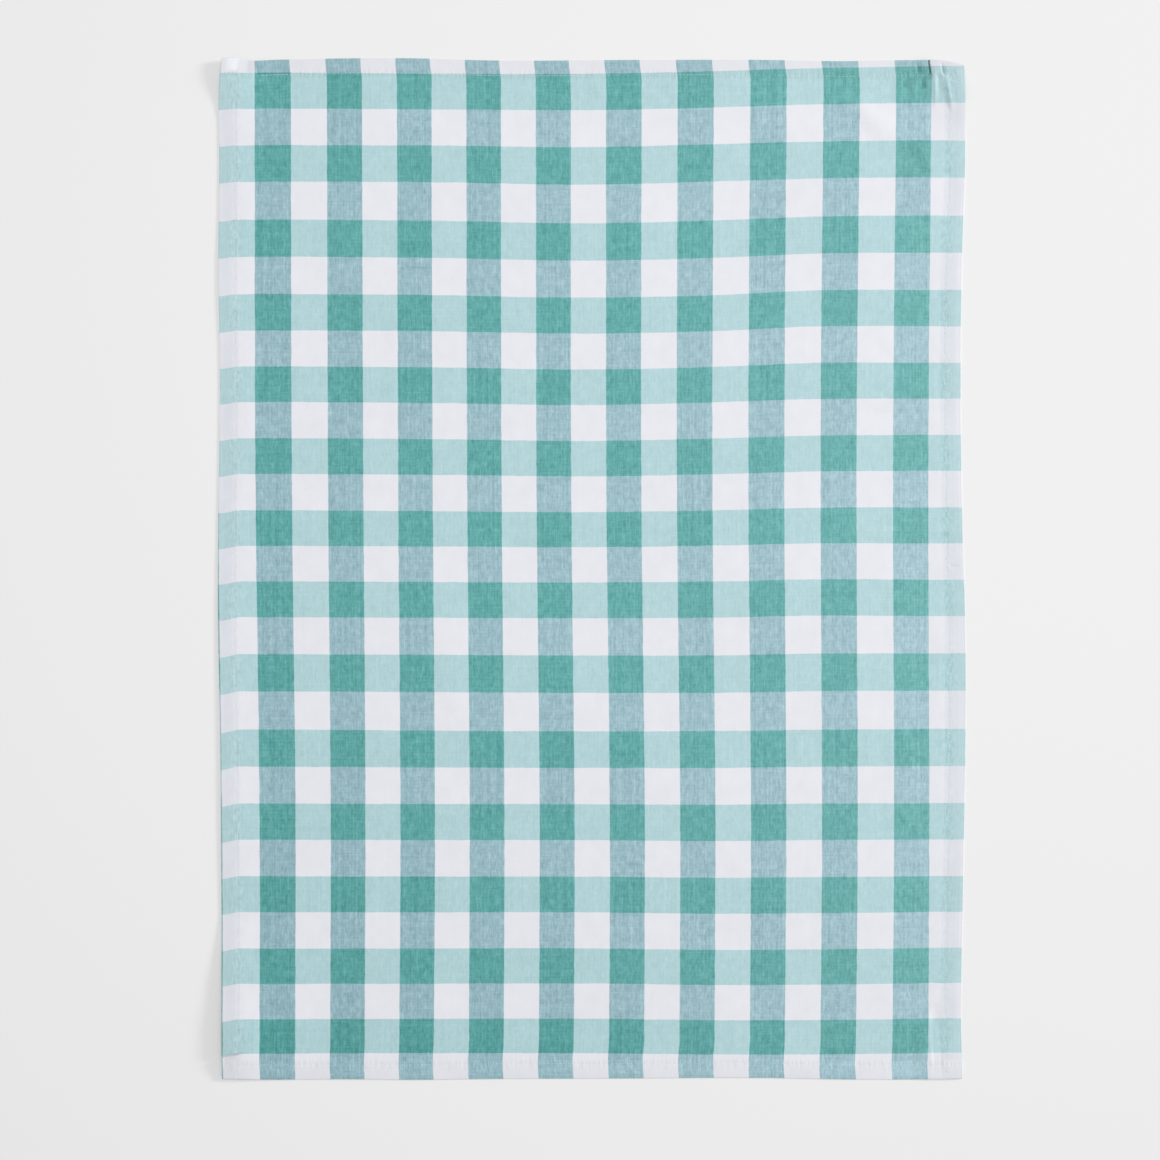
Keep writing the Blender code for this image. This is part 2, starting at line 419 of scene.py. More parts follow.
def to_outline(x, y):
    """Moves points of the straight-edged towel to the uneven outline of the real one."""
    across = np.clip(x / WIDTH + 0.5, 0, 1)
    along = np.clip(y / LENGTH + 0.5, 0, 1)
    side_shares = row_shares([row.y for row in SIDES], y)
    end_shares = row_shares([row.x for row in ENDS], x)
    left = side_shares @ [row.left for row in SIDES]
    right = side_shares @ [row.right for row in SIDES]
    lower = end_shares @ [row.lower for row in ENDS]
    top = end_shares @ [row.top for row in ENDS]
    return (
        x + left * (1 - across) + right * across - OUTLINE_MIDDLE[0],
        y + lower * (1 - along) + top * along - OUTLINE_MIDDLE[1],
    )


def unit(vectors):
    """The vectors at a length of 1."""
    return vectors / np.maximum(np.linalg.norm(vectors, axis=-1, keepdims=True), 1e-12)


def direction(points, axis):
    """The cloth's direction at each point along one way of the mesh, unit length."""
    steps = unit(np.diff(points, axis=axis))
    first = np.take(steps, [0], axis=axis)
    last = np.take(steps, [-1], axis=axis)
    before = np.concatenate([first, steps], axis=axis)
    after = np.concatenate([steps, last], axis=axis)
    return unit(before + after)


class Cloth(NamedTuple):
    """The cloth at every crossing of its mesh lines."""

    columns: list
    rows: list
    straight: np.ndarray  # across and along, before the outline is uneven
    middle: np.ndarray  # of its thickness
    facing: np.ndarray  # off its face, unit length
    half_layer: np.ndarray
    flat: np.ndarray  # place on the cloth as it was cut


def laid_cloth():
    """The towel as it lies: edges turned, layers stacked, and the soft rises added."""
    columns = both_ways(LEFT_ZONES, RIGHT_ZONES, WIDTH / 2, SIDE_HEMS)
    rows = both_ways(LOWER_ZONES, TOP_ZONES, LENGTH / 2, END_HEMS)
    x, level_x, flat_x = [], [], []
    for side, line in columns:
        out, level = turned(line, WIDTH / 2, SIDE_HEMS[side > 0], 0, 0)
        x.append(side * out)
        level_x.append(level)
        flat_x.append(side * line.flat)
    x, level_x = np.array(x), np.array(level_x)
    extra = 2 * hem_share(x, WIDTH / 2, SIDE_HEMS)
    y = np.empty((len(rows), len(columns)))
    depth = np.empty_like(y)
    for k, (side, line) in enumerate(rows):
        out, level = turned(line, LENGTH / 2, END_HEMS[side > 0], extra, level_x)
        y[k] = side * out
        depth[k] = level
    x = np.broadcast_to(x, y.shape)
    loose = squeeze(x, y)
    stack = LAYER_PITCH * (layers_at(x, y) - 1 - depth) + LAYER / 2
    z = soft_rise(x, y) + loose * stack
    middle = np.stack([*to_outline(x, y), z], axis=-1)
    facing = unit(np.cross(direction(middle, 1), direction(middle, 0)))
    flat = np.stack(np.meshgrid(flat_x, [side * line.flat for side, line in rows]), axis=-1)
    straight = np.stack([x, y], axis=-1)
    return Cloth(columns, rows, straight, middle, facing, loose * LAYER / 2, flat)


cloth = laid_cloth()


class Drifts(NamedTuple):
    """How far one dyed stripe lies off its even place, in millimetres, along its length."""

    place: float
    off: tuple


WARP_HEIGHTS = (-0.317, -0.196, 0.064, 0.325)
WARP_DRIFTS = (  # to the right, from the lower end to the top
    Drifts(place=-0.262, off=(0.4, -0.5, -3.2, -3.4)),
    Drifts(place=-0.214, off=(1.7, 1.8, -1.0, -1.6)),
    Drifts(place=-0.166, off=(1.1, 1.5, -0.1, -1.0)),
    Drifts(place=-0.118, off=(0.0, 0.8, -0.8, -1.6)),
    Drifts(place=-0.070, off=(-0.6, -0.1, -2.0, -2.5)),
    Drifts(place=-0.022, off=(-0.9, -0.4, -2.7, -3.1)),
    Drifts(place=0.025, off=(-1.2, -0.7, -3.2, -3.1)),
    Drifts(place=0.073, off=(-1.4, -0.8, -3.0, -2.2)),
    Drifts(place=0.121, off=(-1.6, -0.7, -2.2, -0.8)),
    Drifts(place=0.169, off=(-1.4, -0.4, -1.2, 0.9)),
    Drifts(place=0.217, off=(-0.3, 0.6, 0.0, 2.0)),
    Drifts(place=0.240, off=(0.2, 0.5, -0.1, 1.9)),
    Drifts(place=0.265, off=(2.0, 2.2, 2.2, 2.6)),
)
WEFT_PLACES = (-0.200, -0.110, 0.0, 0.095, 0.144, 0.230)
WEFT_DRIFTS = (  # upwards, from the left side to the right
    Drifts(place=-0.329, off=(0.7, 0.9, 0.7, -0.1, -0.1, 0.8)),
    Drifts(place=-0.316, off=(0.0, 0.1, 0.0, -0.9, -0.9, 0.1)),
    Drifts(place=-0.267, off=(-2.0, -1.9, -1.8, -2.9, -2.6, -1.6)),
    Drifts(place=-0.218, off=(-2.5, -2.6, -2.7, -3.5, -3.1, -2.5)),
    Drifts(place=-0.168, off=(-2.6, -2.8, -2.9, -3.3, -2.7, -2.4)),
    Drifts(place=-0.119, off=(-2.1, -2.7, -3.1, -2.9, -2.2, -1.7)),
    Drifts(place=-0.070, off=(-0.2, -0.6, -1.1, -1.0, -0.1, 0.3)),
    Drifts(place=-0.020, off=(0.2, -0.1, -0.4, 0.4, 1.5, 1.2)),
    Drifts(place=0.029, off=(-0.9, -1.4, -2.0, -0.6, 0.7, 1.0)),
    Drifts(place=0.078, off=(-1.3, -1.9, -3.1, -1.2, 0.2, 1.0)),
    Drifts(place=0.128, off=(-2.0, -2.6, -4.1, -1.8, 0.1, 0.5)),
    Drifts(place=0.177, off=(-2.5, -3.1, -4.8, -2.7, -0.1, 0.5)),
    Drifts(place=0.226, off=(-1.5, -2.3, -4.1, -1.8, 0.2, 1.2)),
    Drifts(place=0.276, off=(-0.1, -0.3, -1.6, 0.7, 1.9, 3.0)),
    Drifts(place=0.325, off=(-0.3, -0.9, -1.0, 1.0, 2.6, 4.0)),
)


class Pull(NamedTuple):
    """Where a hem was sewn with a slight twist: the most that it carries the stripes along."""

    x: float
    y: float
    reach_x: float
    reach_y: float
    right: float
    up: float


PULLS = (  # the left hem, the top one but for its left corner, and the lower one
    Pull(x=-0.2525, y=-0.120, reach_x=0.0145, reach_y=0.620, right=0.0, up=-0.0024),
    Pull(x=0.030, y=0.3457, reach_x=0.600, reach_y=0.0145, right=-0.0013, up=0.0),
    Pull(x=-0.240, y=0.3457, reach_x=0.030, reach_y=0.0145, right=0.0012, up=0.0),
    Pull(x=0.060, y=-0.3350, reach_x=0.400, reach_y=0.0160, right=-0.0009, up=0.0),
)
ONE_LAYER_SHOWS = 0.75  # of what shows through a hem, outside the turned-in edge
SHOWS_FADE = 0.0028  # how softly it ends at the hem's inner fold
CORNERS_SHOW = 0.3  # of that, where the hems of the sides are under those of the ends


def woven_place(place):
    """The place in the evenly woven pattern that each place of the flat cloth shows."""
    x, y = place[..., 0], place[..., 1]
    warp = row_shares([row.place for row in WARP_DRIFTS], x)
    weft = row_shares([row.place for row in WEFT_DRIFTS], y)
    heights, places = row_shares(WARP_HEIGHTS, y), row_shares(WEFT_PLACES, x)
    right = np.einsum("...i,...j,ij->...", warp, heights, [row.off for row in WARP_DRIFTS])
    up = np.einsum("...i,...j,ij->...", weft, places, [row.off for row in WEFT_DRIFTS])
    right, up = right / 1000, up / 1000
    for pull in PULLS:
        reach = ((x - pull.x) / pull.reach_x) ** 2 + ((y - pull.y) / pull.reach_y) ** 2
        share = mound(reach)
        right = right + pull.right * share
        up = up + pull.up * share
    return np.stack([x - right, y - up], axis=-1)


def under_front(lines, half, hems):
    """How much the layer under the front shows through at each line, and its own flat place."""
    shows, places = [], []
    for side, line in lines:
        past = line.at - (half - hems[side > 0].width)
        on_hem = line.part == "front" and past > 0
        layers_show = 1.0 if past < TURNED_IN else ONE_LAYER_SHOWS
        layers_show *= min(1.0, past / SHOWS_FADE)
        shows.append(hems[side > 0].shows * layers_show if on_hem else 0.0)
        places.append(side * (2 * half - line.at if on_hem else line.flat))
    return np.array(shows), np.array(places)


def add_map(mesh, name, places):
    """A UV map of a mesh, from the place of every corner of its faces."""
    layer = mesh.uv_layers.new(name=name)
    layer.uv.foreach_set("vector", np.array(places, np.float32).ravel())


FACE_SHARE = 0.62  # of the baked picture's width; the back gets the rest
BAKE_MARGIN = 0.003


def cloth_mesh(name):
    """The sheet: its face and its back, half a layer off the middle, joined at the raw edge."""
    count_y, count_x = cloth.half_layer.shape
    off = cloth.facing * cloth.half_layer[..., None]
    index = np.arange(count_y * count_x).reshape(count_y, count_x)
    quads = np.stack([index[:-1, :-1], index[:-1, 1:], index[1:, 1:], index[1:, :-1]], -1)
    face_quads = quads.reshape(-1, 4)
    back_quads = face_quads[:, ::-1] + index.size
    rim = np.concatenate([index[0, :-1], index[:-1, -1], index[-1, :0:-1], index[:0:-1, 0]])
    after = np.roll(rim, -1)
    rim_quads = np.stack([after, rim, rim + index.size, after + index.size], -1)
    points = np.concatenate([cloth.middle + off, cloth.middle - off]).reshape(-1, 3)
    mesh = bpy.data.meshes.new(name)
    mesh.from_pydata(points, [], np.concatenate([face_quads, back_quads, rim_quads]).tolist())
    mesh.shade_smooth()

    # How much of the layer under each place of the front shows there.
    shows_x, under_x = under_front(cloth.columns, WIDTH / 2, SIDE_HEMS)
    shows_y, under_y = under_front(cloth.rows, LENGTH / 2, END_HEMS)
    front_x = np.array([line.part == "front" for _, line in cloth.columns])
    front_y = np.array([line.part == "front" for _, line in cloth.rows])
    sides_show = shows_x[None, :] * np.where(shows_y[:, None] > 0, CORNERS_SHOW, 1)
    shows = np.maximum(sides_show, shows_y[:, None])
    shows = shows * front_x[None, :] * front_y[:, None]
    attribute = mesh.attributes.new("hem_shows", "FLOAT", "POINT")
    attribute.data.foreach_set("value", np.concatenate([shows.ravel(), np.zeros(index.size)]))

    # Places in the pattern, of the cloth and of the layer under it, on the towel and in the bake.
    pulled = cloth.middle[..., :2] - cloth.straight
    under = np.stack(np.meshgrid(under_x, under_y), axis=-1)
    share = (cloth.flat / FLAT_SIZE + 0.5) * (1 - 2 * BAKE_MARGIN) + BAKE_MARGIN
    on_face = share * (FACE_SHARE, 1)
    on_back = share * (1 - FACE_SHARE, 1) + (FACE_SHARE, 0)
    maps = {
        "weave": [woven_place(cloth.flat + pulled)] * 2,
        "weave_under": [woven_place(under + pulled)] * 2,
        "towel": [cloth.straight] * 2,
        "OFBake": [on_face, on_back],
    }
    corner = np.empty(len(mesh.loops), int)
    mesh.loops.foreach_get("vertex_index", corner)
    for map_name, sides in maps.items():
        places = np.concatenate([side.reshape(-1, 2) for side in sides])
        add_map(mesh, map_name, places[corner])
    return mesh


class Wire:
    """A socket of a node tree. Arithmetic on it adds Math nodes, and node() adds any other."""

    def __init__(self, tree, socket=None):
        self.tree = tree
        self.socket = socket

    def node(self, kind, settings=None, sockets=None, output=0):
        """One of the outputs of a new node, with its settings and its sockets filled in."""
        made = self.tree.nodes.new(kind)
        for name, value in (settings or {}).items():
            setattr(made, name, value)
        for name, value in (sockets or {}).items():
            if isinstance(value, Wire):
                self.tree.links.new(value.socket, made.inputs[name])
            else:
                made.inputs[name].default_value = value
        return Wire(self.tree, made.outputs[output])

    def math(self, operation, *others):
        """A Math node on this and up to two others."""
        sockets = dict(enumerate((self, *others)))
        return self.node("ShaderNodeMath", {"operation": operation}, sockets)

    def __add__(self, other):
        return self.math("ADD", other)

    def __sub__(self, other):
        return self.math("SUBTRACT", other)

    def __rsub__(self, other):
        return self.math("MULTIPLY_ADD", -1.0, other)

    def __mul__(self, other):
        return self.math("MULTIPLY", other)

    def __truediv__(self, other):
        return self.math("DIVIDE", other)

    __radd__ = __add__
    __rmul__ = __mul__

    def step(self, low, high):
        """0 up to low and 1 from high, eased between. High may be the smaller."""
        sockets = {"Value": self, "From Min": low, "From Max": high}
        return self.node("ShaderNodeMapRange", {"interpolation_type": "SMOOTHSTEP"}, sockets)

    def mapped(self, name):
        """The two coordinates of a UV map, across and along."""
        place = self.node("ShaderNodeUVMap", {"uv_map": name})
        apart = place.node("ShaderNodeSeparateXYZ", None, {"Vector": place})
        return apart, Wire(self.tree, apart.socket.node.outputs["Y"])

    def cloud(self, other, seed, detail=1.0):
        """Cloudy noise from about -0.5 to 0.5, by two coordinates in sizes of its clouds."""
        place = self.node("ShaderNodeCombineXYZ", None, {"X": self, "Y": other, "Z": seed})
        sockets = {"Vector": place, "Scale": 1.0, "Detail": detail}
        return self.node("ShaderNodeTexNoise", None, sockets) - 0.5

    def between(self, first, second):
        """Two colours, mixed: the first at 0, the second at 1, and on past both."""
        settings = {"data_type": "RGBA", "clamp_factor": False}
        return self.node("ShaderNodeMix", settings, {0: self, 6: first, 7: second}, output=2)

    def colour(self, operation, other, share=1.0):
        """This colour multiplied by another, or whatever the operation is."""
        settings = {"data_type": "RGBA", "blend_type": operation}
        return self.node("ShaderNodeMix", settings, {0: share, 6: self, 7: other}, output=2)

    def scaled(self, by):
        """This colour or vector, made that many times lighter or longer."""
        return self.node("ShaderNodeVectorMath", {"operation": "SCALE"}, {0: self, "Scale": by})


def new_material(name):
    """A material, its shader, and a wire to start its other nodes from."""
    material = bpy.data.materials.new(name)
    material.use_nodes = True
    return material, material.node_tree.nodes["Principled BSDF"], Wire(material.node_tree)


def new_piece(name, mesh, material):
    """An object of the scene, with its mesh and its one material."""
    piece = bpy.data.objects.new(name, mesh)
    bpy.context.scene.collection.objects.link(piece)
    mesh.materials.append(material)
    return piece


class Stripes(NamedTuple):
    """Evenly woven stripes of dyed yarn: from one to the next, their width, one's middle."""

    pitch: float
    width: float
    middle: float


WARP_STRIPES = Stripes(pitch=0.0479, width=0.0238, middle=0.02523)
WEFT_STRIPES = Stripes(pitch=0.04934, width=0.0245, middle=0.02852)
STRIPE_EDGE = 0.0003  # half the width in which one colour turns into the other
STRIPE_WANDER = 0.0007
END_PITCH = 1 / 2100  # 21 warp yarns to the centimetre
PICK_PITCH = 1 / 1800
YARN_APART = 7.31  # from one yarn's place in the noise to the next one's

WHITE = (0.790, 0.795, 0.842, 1)
DYED_WARP = (0.337, 0.509, 0.565, 1)  # dyed warp crossed by white weft
DYED_WEFT = (0.450, 0.650, 0.682, 1)
DYED_BOTH = (0.127, 0.397, 0.381, 1)


def striped(place, stripes):
    """1 on a stripe and 0 off it."""
    turns = (place - stripes.middle) / stripes.pitch + 0.5
    off = (turns.math("FRACT") - 0.5).math("ABSOLUTE") * stripes.pitch
    return off.step(stripes.width / 2 + STRIPE_EDGE, stripes.width / 2 - STRIPE_EDGE)


def gingham(across, along):
    """The colour of the checks, and where warp and weft are dyed."""
    warp = striped(across, WARP_STRIPES)
    weft = striped(along, WEFT_STRIPES)
    off_weft = warp.between(WHITE, DYED_WARP)
    on_weft = warp.between(DYED_WEFT, DYED_BOTH)
    return weft.between(off_weft, on_weft), warp, weft


cotton, shader, start = new_material("checked_cotton")
across, along = start.mapped("weave")
wander = STRIPE_WANDER * (across / 0.030).cloud(along / 0.012, seed=4.0)
wander_up = STRIPE_WANDER * (across / 0.012).cloud(along / 0.030, seed=9.0)
colour, warp, weft = gingham(across + wander, along + wander_up)

# Uneven yarns: each swells and thins along its length, and so do small groups of them, more
# in the warp than in the weft. Together they make the dye paler or deeper from yarn to yarn.
end = (across / END_PITCH).math("FLOOR")
pick = (along / PICK_PITCH).math("FLOOR")
warp_swell = (end * YARN_APART).cloud(along / 0.0042, seed=1.0) * 0.9
warp_swell = warp_swell + (across / 0.0013).cloud(along / 0.0050, seed=2.0) * 1.1
warp_runs = (across / 0.0012).cloud(along / 0.090, seed=3.0)
weft_swell = (along / 0.0012).cloud(across / 0.0050, seed=5.0) * 0.8
weft_swell = weft_swell + (pick * YARN_APART).cloud(across / 0.0060, seed=6.0) * 0.5
weft_runs = (along / 0.0012).cloud(across / 0.080, seed=7.0)
blotches = (across / 0.0045).cloud(along / 0.0075, seed=14.0)
uneven = warp_swell * 6.7 + warp_runs * 6.2 + weft_swell * 5.2 + weft_runs * 3.2 + blotches * 5.5

# Painted light and shade on top of the yarns' own uneven tone: the colour is deeper towards the
# lower end, more so on the left, and paler by the right hem, towards the lamps. These are metres
# past a line.
lower = (-0.03 - along).math("MAXIMUM", 0.0)
lowest = (-0.295 - along).math("MAXIMUM", 0.0)
rightmost = (across - 0.190).math("MAXIMUM", 0.0)
right_half = across.math("MAXIMUM", 0.0)
tone_and_painted_light = uneven + 0.05 + across * 4.5 - lower * (3.0 - across * 8)
tone_and_painted_light = tone_and_painted_light + warp * (rightmost * 28 - weft * (lower + lowest * 35))
# Each kind of check shows its own share of the tone and the painted light, as white and as light.
paler = tone_and_painted_light * (warp * (0.0246 - weft * 0.0138) + (1 - warp) * weft * 0.0158)
paler = paler + warp * weft * right_half * 0.09
lighter = tone_and_painted_light * (warp * (0.0379 + weft * 0.0078) + (1 - warp) * (0.0033 + weft * 0.0124))
# Random mottling of the cloth's tone, and painted light that grows towards the top end and the
# right.
mottle_and_painted_light = (across / 0.010).cloud(along / 0.013, seed=8.0) * 0.08
mottle_and_painted_light = mottle_and_painted_light + along * 0.03 + right_half * 0.05
colour = (1 - paler).between(WHITE, colour).scaled(1 + lighter + mottle_and_painted_light)

# The layers turned under a hem show faintly through its front, least where the left half's
# front is dyed in the weft.
under, _, _ = gingham(*start.mapped("weave_under"))
hem_shows = start.node("ShaderNodeAttribute", {"attribute_name": "hem_shows"}, output="Fac")
towel_across, towel_along = start.mapped("towel")
left_half = towel_across.step(0.01, -0.01)
colour = colour.colour("MULTIPLY", under, hem_shows * (1 - weft * left_half * 0.7))


def strip(outward, half, starts, full):
    """1 along an edge, and 0 further in than where the strip starts."""
    return outward.step(half - starts, half - full)


# Painted shade along the hems: the top and the right hem are a little darker, and so are the
# right fold, to tone down the lamp's light on it, and the lower fold, which faces away from the
# lamp. Painted light on the left fold, which faces away from the lamp. The side hems and the
# lower hem are paler where they are dyed, but for the lower hem's folded edge.
top_hem = strip(towel_along, LENGTH / 2, starts=0.0135, full=0.0120)
left_hem = strip(towel_across * -1, WIDTH / 2, starts=0.0150, full=0.0130)
right_hem = strip(towel_across, WIDTH / 2, starts=0.0150, full=0.0050)
lower_hem = strip(towel_along * -1, LENGTH / 2, starts=0.0135, full=0.0120)
lower_fold = strip(towel_along * -1, LENGTH / 2, starts=0.0060, full=0.0)
right_fold = strip(towel_across, WIDTH / 2, starts=0.0018, full=0.0003)
left_fold = strip(towel_across * -1, WIDTH / 2, starts=0.0022, full=0.0004)
# Painted shade on the top and right hems and on the right and lower folds; painted light on the
# left fold.
painted_shade = top_hem * 0.048 + right_hem * (0.030 - weft * 0.018)
painted_shade = painted_shade + right_fold * 0.075 + lower_fold * (0.015 + warp * 0.080)
painted_light_and_paling = left_fold * (0.035 + warp * 0.07) + lower_hem * (warp * 0.087 - 0.012)
colour = (weft * (left_hem * 0.08 + right_hem * 0.12)).between(colour, WHITE)
colour = colour.scaled(1 - painted_shade + painted_light_and_paling)

# The needle holes of the four seams, with painted shade in them, and the small puckers and
# crinkles between them.
HOLE = 0.0001  # how far from its middle a hole is darkest
HOLE_EDGE = 0.00055  # and where its shade ends
off_side = towel_across.math("ABSOLUTE") - (WIDTH / 2 - SIDE_HEMS[0].seam_in)
off_end = towel_along.math("ABSOLUTE") - (LENGTH / 2 - END_HEMS[0].seam_in)


def needle_holes(off, along):
    """1 at the holes of a seam and 0 off them."""
    from_hole = ((along / STITCH).math("FRACT") - 0.5).math("ABSOLUTE") * STITCH
    return (off * off + from_hole * from_hole).math("SQRT").step(HOLE_EDGE, HOLE)


holes = needle_holes(off_side, towel_along).math("MAXIMUM", needle_holes(off_end, towel_across))
near_side = off_side.math("ABSOLUTE").step(0.0075, 0.0)
near_end = off_end.math("ABSOLUTE").step(0.0060, 0.0)
puckers = (towel_along / 0.0040).cloud(towel_across / 0.020, seed=12.0) * near_side * 0.5
end_puckers = (towel_across / 0.0022).cloud(towel_along / 0.0090, seed=13.0)
puckers = puckers + end_puckers * near_end * 1.6
crinkles = (towel_across / 0.0015).cloud(towel_along / 0.0045, seed=15.0) * near_side
deep = (towel_across / 0.020).cloud(towel_along / 0.020, seed=16.0).step(-0.10, 0.15)
# Painted shade in the needle holes, deeper in some stretches, and painted light and shade on the
# crinkles by the side seams, which are raised too.
hole_shade = holes * (0.02 + deep * 0.08) * (1 - lower_hem * 0.6)
colour = colour.scaled(1 - hole_shade + crinkles * (0.12 + weft * 0.38))


class Mark(NamedTuple):
    """A darker or paler streak along a line. Less than 0 is darker."""

    x0: float
    y0: float
    x1: float
    y1: float
    half_width: float
    paler: float


MARKS = (
    # Painted shade deep in the pleats of the gathered corner, the pinched one first.
    Mark(x0=0.2285, y0=0.3480, x1=0.2299, y1=0.3356, half_width=0.0007, paler=-0.60),
    Mark(x0=0.2222, y0=0.3424, x1=0.2234, y1=0.3364, half_width=0.0016, paler=-0.22),
    Mark(x0=0.2121, y0=0.3328, x1=0.2123, y1=0.3266, half_width=0.0019, paler=-0.22),
    Mark(x0=0.2241, y0=0.3346, x1=0.2259, y1=0.3264, half_width=0.0017, paler=-0.16),
    Mark(x0=0.2372, y0=0.3444, x1=0.2388, y1=0.3360, half_width=0.0010, paler=-0.14),
    # Below them, painted shade where the slanting fold crosses the last stripe.
    Mark(x0=0.2155, y0=0.2912, x1=0.2275, y1=0.2681, half_width=0.0048, paler=-0.10),
    Mark(x0=0.2185, y0=0.2915, x1=0.2180, y1=0.2400, half_width=0.0125, paler=-0.07),
    # Painted shade in the two wrinkles, and along the seam at the top left.
    Mark(x0=-0.2530, y0=-0.3311, x1=-0.2402, y1=-0.3280, half_width=0.0007, paler=-0.18),
    Mark(x0=0.2422, y0=0.0040, x1=0.2507, y1=0.0038, half_width=0.0009, paler=-0.06),
    Mark(x0=-0.2280, y0=0.3366, x1=-0.2036, y1=0.3366, half_width=0.0006, paler=-0.18),
    # Painted light on the top left corner, whose raised block tilts towards the lamp, and a
    # darker strip beside it, where the layers under it show through.
    Mark(x0=-0.2450, y0=0.3480, x1=-0.2450, y1=0.3366, half_width=0.0056, paler=0.10),
    Mark(x0=-0.2322, y0=0.3462, x1=-0.2322, y1=0.3366, half_width=0.0038, paler=-0.12),
)
MARK_CORE = 0.4  # of its half width, in which a mark is full
MARK_FADE = 0.0015  # how far it takes to fade in from its ends


def streak(mark, across, along):
    """How much paler a mark makes the cloth, fading out at its sides and ends."""
    run_x, run_y = mark.x1 - mark.x0, mark.y1 - mark.y0
    run = math.hypot(run_x, run_y)
    past = (across - mark.x0) * (run_x / run) + (along - mark.y0) * (run_y / run)
    aside = (across - mark.x0) * (run_y / run) - (along - mark.y0) * (run_x / run)
    inside = aside.math("ABSOLUTE").step(mark.half_width, mark.half_width * MARK_CORE)
    return inside * past.step(0.0, MARK_FADE) * past.step(run, run - MARK_FADE) * mark.paler


for mark in MARKS:
    colour = colour.scaled(1 + streak(mark, towel_across, towel_along))
start.tree.links.new(colour.socket, shader.inputs["Base Color"])

# The relief of the yarns and seams, each by its height in metres.
over_ends = (across / END_PITCH * math.pi).math("SINE")
over_under = over_ends * (along / PICK_PITCH * math.pi).math("SINE")
relief = over_under * 0.00001 + warp_swell * 0.000016 + weft_swell * 0.000010
relief = relief + puckers * 0.00025 + crinkles * 0.00006 - holes * 0.00005
bump = start.node("ShaderNodeBump", None, {"Height": relief, "Distance": 1.0, "Strength": 1.0})
start.tree.links.new(bump.socket, shader.inputs["Normal"])
shader.inputs["Roughness"].default_value = 0.9
shader.inputs["Specular IOR Level"].default_value = 0.2
shader.inputs["Sheen Weight"].default_value = 0.1
shader.inputs["Sheen Roughness"].default_value = 0.5

tea_towel = new_piece("tea_towel", cloth_mesh("tea_towel"), cotton)
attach(tea_towel, "root")
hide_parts("towel_cloth")

# ----------------------------------------------------------
# The stitching. One row of lockstitch in pale cotton thread along each of the four hems,
# 11 mm in from the fold on the sides and a little less on the ends, from edge to edge. The
# same rows show on the back. Each stitch lies on the cloth and dips into its needle holes.
# ----------------------------------------------------------

THREAD_WIDE = 0.00021
THREAD_HIGH = 0.00018
THREAD_SIDES = 6
THREAD_ENDS_IN = 0.0008  # from the towel's folded edge
SLANT = 0.00008
UNEVEN_HEIGHT = 0.00002  # from stitch to stitch
UNEVEN_STRETCH = 0.00007  # from one stretch of a seam to the next
STRETCH = 9  # stitches in a stretch
UNEVEN_SLANT = 0.00004
SUNK_SIDES = 0.00006  # how much deeper the stitches lie in the hems of the sides
SUNK_ENDS = (0.00008, 0.00002)  # and of the lower and the top end
SURE_CLEARANCE = 0.00014  # of a thread's middle over the table
TWIST = 0.0008  # along the thread, for one turn of its twist
THREAD_DULL = (0.70, 0.76, 0.775, 1)
THREAD_PALE = (0.81, 0.85, 0.865, 1)
CELL_SHAPE = 3  # a stitch's cell in the baked picture is this many times as long as high
CELL_MARGINS = (0.06, 0.10)
ROUND_END = 0.4  # the radius of a thread's end in its cell


class Bend(NamedTuple):
    """A point of a stitch: how far along it, its height off the cloth, and its slant."""

    share: float
    height: float
    slant: float


BENDS = (
    Bend(share=0.0, height=-0.00022, slant=0.0),
    Bend(share=0.17, height=-0.00004, slant=-1.0),
    Bend(share=0.37, height=0.00005, slant=-0.4),
    Bend(share=0.63, height=0.00005, slant=0.4),
    Bend(share=0.83, height=-0.00004, slant=1.0),
)


def thread_rings(places, surface, aside, up, sunk, random):
    """The rings of points round one row's thread, from end to end, sunk so far into the cloth."""
    first, last = places[0] + THREAD_ENDS_IN, places[-1] - THREAD_ENDS_IN
    holes = np.arange(math.ceil(first / STITCH - 0.5), math.floor(last / STITCH - 0.5) + 1) + 0.5
    draws = random.normal(0, UNEVEN_STRETCH / math.sqrt(STRETCH), len(holes))
    stretch = np.convolve(draws, np.ones(STRETCH), "same")
    along, height, slant = [], [], []
    for hole, deep in zip(holes[:-1], stretch):
        lift, lean = deep + random.normal(0, UNEVEN_HEIGHT), random.normal(0, UNEVEN_SLANT)
        for bend in BENDS:
            along.append((hole + bend.share) * STITCH)
            height.append(bend.height - sunk + lift * (bend.share > 0))
            slant.append(bend.slant * SLANT + lean * (bend.share > 0))
    along = np.array(along)
    middle = np.stack([np.interp(along, places, surface[:, axis]) for axis in range(3)], -1)
    middle = middle + np.outer(height, (0, 0, up)) + np.outer(slant, aside)
    middle[:, 2] = np.maximum(middle[:, 2], SURE_CLEARANCE)
    turn = np.linspace(0, 2 * math.pi, THREAD_SIDES, endpoint=False)
    ring = np.outer(np.cos(turn) * THREAD_WIDE / 2, aside)
    ring = ring + np.outer(np.sin(turn) * THREAD_HIGH / 2, (0, 0, 1))
    return middle[:, None] + ring, along


